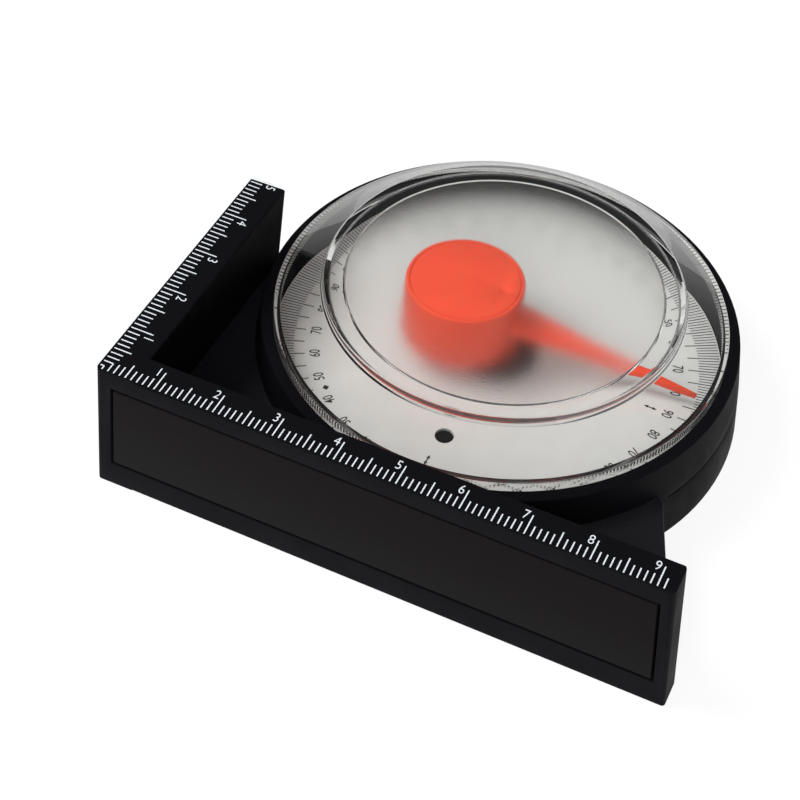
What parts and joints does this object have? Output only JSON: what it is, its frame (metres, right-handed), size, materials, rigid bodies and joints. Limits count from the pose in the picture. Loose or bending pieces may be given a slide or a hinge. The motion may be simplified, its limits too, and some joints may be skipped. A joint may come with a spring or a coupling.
{
  "type": "dial inclinometer",
  "caption": "Dial inclinometer: a weighted pointer swings over a dial of degrees under a clear cover, in a black housing with a magnetic base and two ruled edges.",
  "frame": {"origin": "where the pendulum's pivot axis meets the flat back; the part lies on its back, dial up", "axes": "+Z out of the dial along the pivot axis, -Y out of the magnetic base, -X out of the ruled arm"},
  "size_m": [0.0975, 0.0913, 0.0266],
  "materials": {
    "black_abs": "fine moulded texture, satin",
    "magnet_rubber": "calendered magnetic rubber, matt",
    "tape": "double-sided tape",
    "dial_foil": "printed silver-grey dial, slightly glossy",
    "clear_styrene": "clear moulded styrene, frosted in the middle",
    "pin_steel": "bright turned steel",
    "bush_brass": "turned brass",
    "orange_plastic": "satin moulded plastic",
    "slug_steel": "plain steel slug"
  },
  "bodies": {
    "root": {"housing": "black_abs", "magnet_strip": "magnet_rubber", "magnet_tape": "tape", "dial_tape": "tape", "dial_plate": "dial_foil", "clear_cover": "clear_styrene", "pivot_pin": "pin_steel", "thrust_washer": "bush_brass", "retaining_clip": "pin_steel"},
    "pointer": {"pendulum": "orange_plastic", "pendulum_bush": "bush_brass", "weight_slug": "slug_steel", "drum_cap": "orange_plastic"}
  },
  "joints": [
    {"name": "pointer_swing", "type": "hinge", "parent": "root", "child": "pointer", "pos_m": [0, 0, 0.0131], "axis": [0, 0, 1], "continuous": true}
  ]
}
